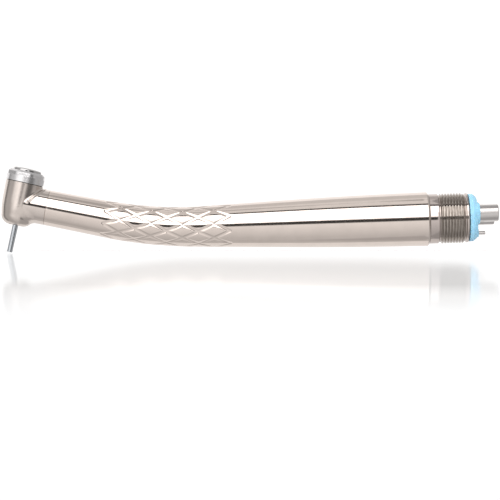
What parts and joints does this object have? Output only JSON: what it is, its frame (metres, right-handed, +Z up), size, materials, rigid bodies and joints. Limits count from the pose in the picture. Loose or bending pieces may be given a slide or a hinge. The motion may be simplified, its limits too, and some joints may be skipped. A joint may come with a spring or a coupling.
{
  "type": "high speed dental handpiece",
  "caption": "Slim bent air-turbine handpiece in satin steel with a push-button chuck, bur, diamond grip and threaded four-hole coupling.",
  "frame": {"origin": "centre of the gasket's sealing face at the coupling, on the axis of the rear half of the handle", "axes": "+X out of the coupling along the rear handle's axis, +Y across to the side away from the exhaust tube, +Z up, with the head bent up at -X and the bur pointing down"},
  "size_m": [0.1337, 0.0146, 0.0253],
  "materials": {
    "satin_steel": "satin stainless steel with a warm cast",
    "cap_steel": "satin stainless steel, cooler and darker than the head",
    "thread_steel": "turned steel, bright between its tool marks",
    "bright_steel": "ground and polished stainless steel",
    "bearing_steel": "polished bearing steel",
    "spring_steel": "spring steel strip",
    "impeller_alloy": "machined alloy",
    "cage_polymer": "brown bearing polymer",
    "black_rubber": "black seal rubber",
    "blue_silicone": "pale blue silicone, slightly glossy"
  },
  "bodies": {
    "housing": {"handle_shell": "satin_steel", "head_housing": "satin_steel", "head_cap": "cap_steel", "upper_bearing_outer_race": "bearing_steel", "upper_bearing_o_ring": "black_rubber", "lower_bearing_outer_race": "bearing_steel", "lower_bearing_o_ring": "black_rubber", "preload_washer": "spring_steel", "button_spring": "spring_steel", "drive_air_line": "bright_steel", "water_line": "bright_steel", "chip_air_line": "bright_steel", "connector_body": "thread_steel", "connector_o_ring": "black_rubber", "exhaust_tube": "satin_steel", "drive_air_tube": "bright_steel", "water_tube": "bright_steel", "chip_air_tube": "bright_steel", "coupling_gasket": "blue_silicone"},
    "rotor": {"spindle": "bright_steel", "chuck_collet": "bright_steel", "impeller": "impeller_alloy", "upper_bearing_inner_race": "bearing_steel", "lower_bearing_inner_race": "bearing_steel"},
    "upper_cage": {"upper_bearing_ball_cage": "cage_polymer"},
    "lower_cage": {"lower_bearing_ball_cage": "cage_polymer"},
    "button": {"push_button": "satin_steel", "button_retainer": "spring_steel"},
    "pusher": {"chuck_pusher": "bright_steel"},
    "bur_tool": {"bur": "bright_steel"}
  },
  "joints": [
    {"name": "rotor_spin", "type": "hinge", "parent": "housing", "child": "rotor", "pos_m": [-0.12444, 0, 0.00182], "axis": [0.247, 0, 0.969], "continuous": true},
    {"name": "upper_cage_spin", "type": "hinge", "parent": "housing", "child": "upper_cage", "pos_m": [-0.12201, 0, 0.01132], "axis": [0.247, 0, 0.969], "continuous": true},
    {"name": "lower_cage_spin", "type": "hinge", "parent": "housing", "child": "lower_cage", "pos_m": [-0.12367, 0, 0.00482], "axis": [0.247, 0, 0.969], "continuous": true},
    {"name": "button_press", "type": "slide", "parent": "housing", "child": "button", "axis": [-0.247, 0, -0.969], "range_m": [0, 0.0008], "stiffness_N_per_m": 8000, "springref_m": -0.0008, "deforming": ["button_spring"]},
    {"name": "pusher_travel", "type": "slide", "parent": "rotor", "child": "pusher", "axis": [-0.247, 0, -0.969], "range_m": [0, 0.0005]},
    {"name": "bur_release", "type": "slide", "parent": "rotor", "child": "bur_tool", "axis": [-0.247, 0, -0.969], "range_m": [0, 0.009]}
  ],
  "couplings": [
    {"joint": "upper_cage_spin", "follows": "rotor_spin", "ratio": 0.395},
    {"joint": "lower_cage_spin", "follows": "rotor_spin", "ratio": 0.395},
    {"joint": "pusher_travel", "follows": "button_press", "ratio": 0.625}
  ]
}
